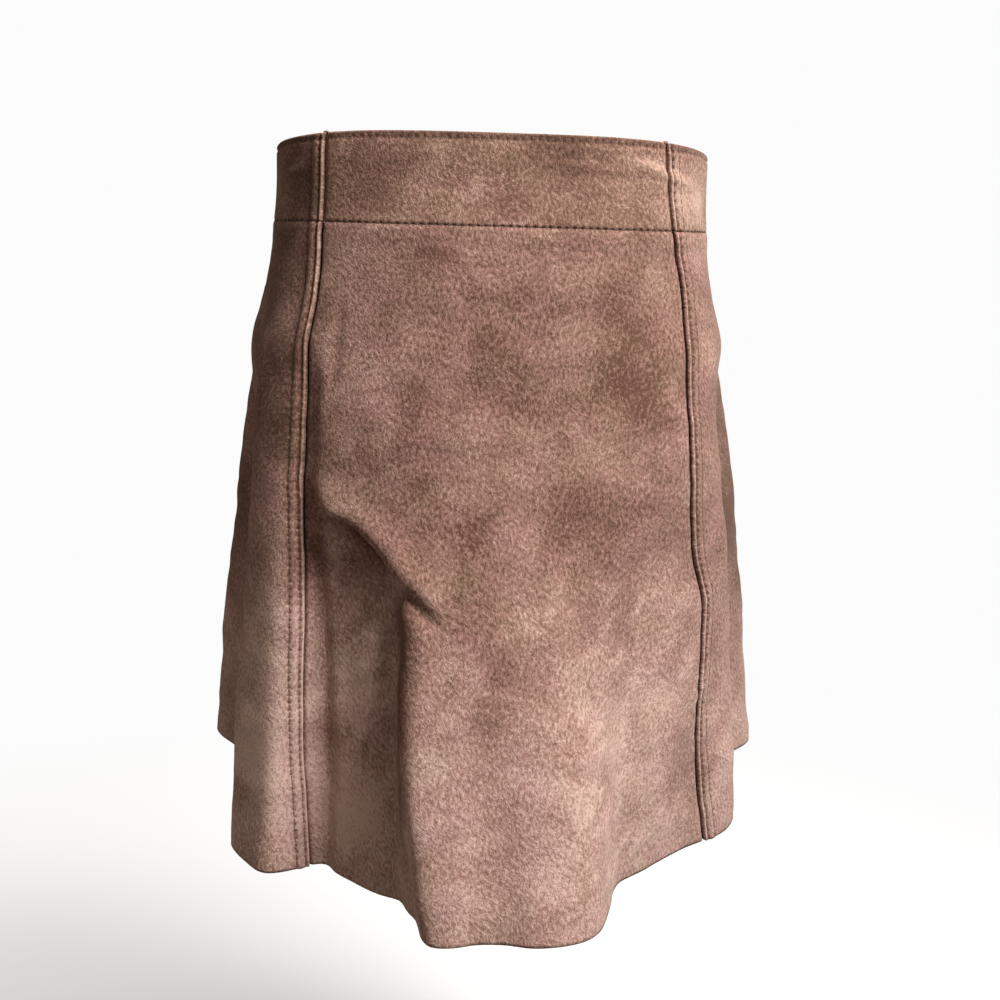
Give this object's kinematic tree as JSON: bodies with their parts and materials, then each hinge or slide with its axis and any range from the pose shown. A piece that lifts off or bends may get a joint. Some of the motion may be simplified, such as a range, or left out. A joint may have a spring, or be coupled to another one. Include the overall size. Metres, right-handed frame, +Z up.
{
  "type": "suede mini skirt",
  "caption": "Flared suede mini skirt, filled out as worn, with a wide waistband, lapped princess seams and a centre-back zip.",
  "frame": {"origin": "middle of the waist opening, level with the front of the waist edge, where the wearer holds the skirt up", "axes": "+Z up out of the waist, -Y to the front, +X to the right as seen from the front"},
  "size_m": [0.3827, 0.3442, 0.4163],
  "materials": {
    "suede": "brushed suede nap, dusty rose brown",
    "suede_band": "brushed suede nap, a shade darker",
    "zip_cloth": "woven tape",
    "zip_metal": "aged, satin"
  },
  "bodies": {
    "root": {"front_panel": "suede", "side_left_panel": "suede", "side_right_panel": "suede", "back_left_panel": "suede", "back_right_panel": "suede", "waistband_front": "suede_band", "waistband_side_left": "suede_band", "waistband_side_right": "suede_band", "waistband_back_left": "suede_band", "waistband_back_right": "suede_band", "zip_tape": "zip_cloth", "zip_slider": "zip_metal", "zip_bottom_stop": "zip_metal", "zip_top_stop_left": "zip_metal", "zip_top_stop_right": "zip_metal"},
    "pull_tab": {"zip_pull_tab": "zip_metal"}
  },
  "joints": [
    {"name": "tab_swing", "type": "hinge", "parent": "root", "child": "pull_tab", "pos_m": [0, 0.09671, -0.012], "axis": [1, 0, 0], "range_deg": [0, 150]}
  ]
}
